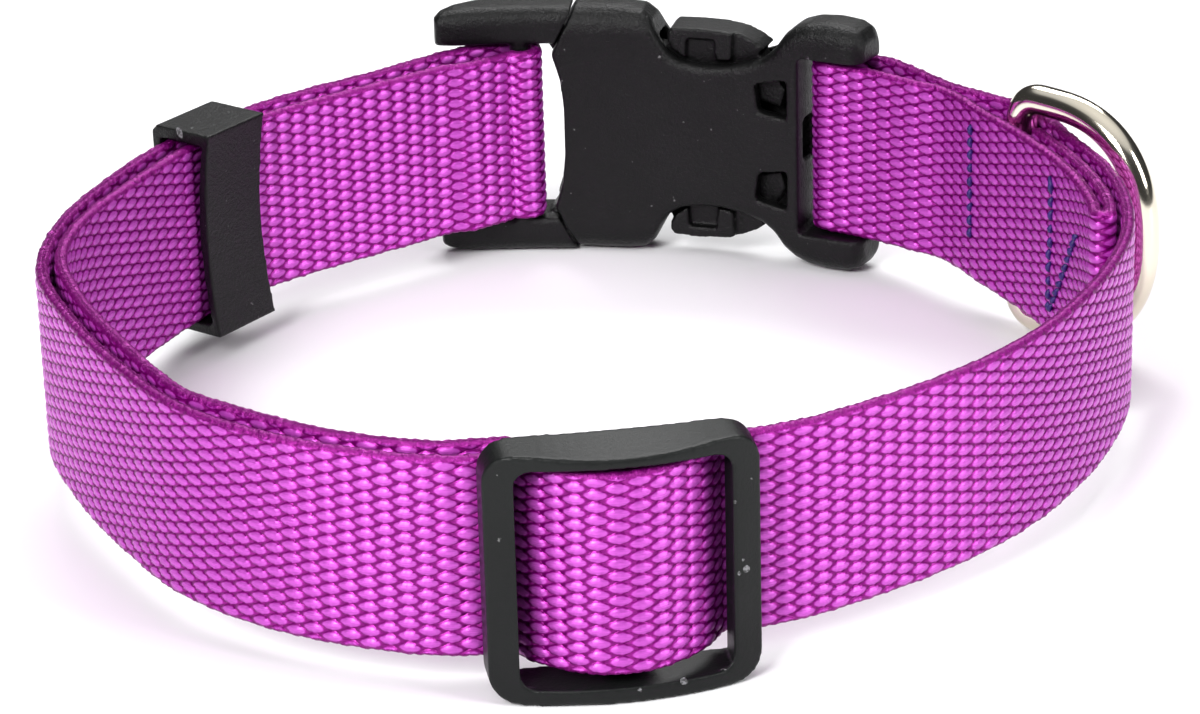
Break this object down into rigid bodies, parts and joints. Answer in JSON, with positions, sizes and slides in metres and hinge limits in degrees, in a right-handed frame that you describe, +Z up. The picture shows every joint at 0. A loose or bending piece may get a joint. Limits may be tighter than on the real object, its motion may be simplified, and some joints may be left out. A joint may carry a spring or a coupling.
{
  "type": "dog collar",
  "caption": "Adjustable dog collar of magenta nylon webbing with a black slider, keeper loop, side release buckle and a nickel lead ring.",
  "frame": {"origin": "middle of the collar's footprint on the surface it stands on", "axes": "+Z up across the webbing's width, -Y towards the slider, +Y towards the buckle, +X towards the lead ring"},
  "size_m": [0.1466, 0.1522, 0.037],
  "materials": {
    "webbing": "woven nylon, silky",
    "black_plastic": "fine grained satin",
    "nickel": "polished nickel plate"
  },
  "bodies": {
    "collar": {"strap": "webbing", "slider": "black_plastic", "keeper": "black_plastic", "buckle_latch": "black_plastic", "buckle_socket": "black_plastic"},
    "ring": {"lead_ring": "nickel"}
  },
  "joints": [
    {"name": "ring_swing", "type": "hinge", "parent": "collar", "child": "ring", "pos_m": [0.05633, 0.03493, 0.01796], "axis": [0, 0, 1], "range_deg": [-2, 150]}
  ]
}
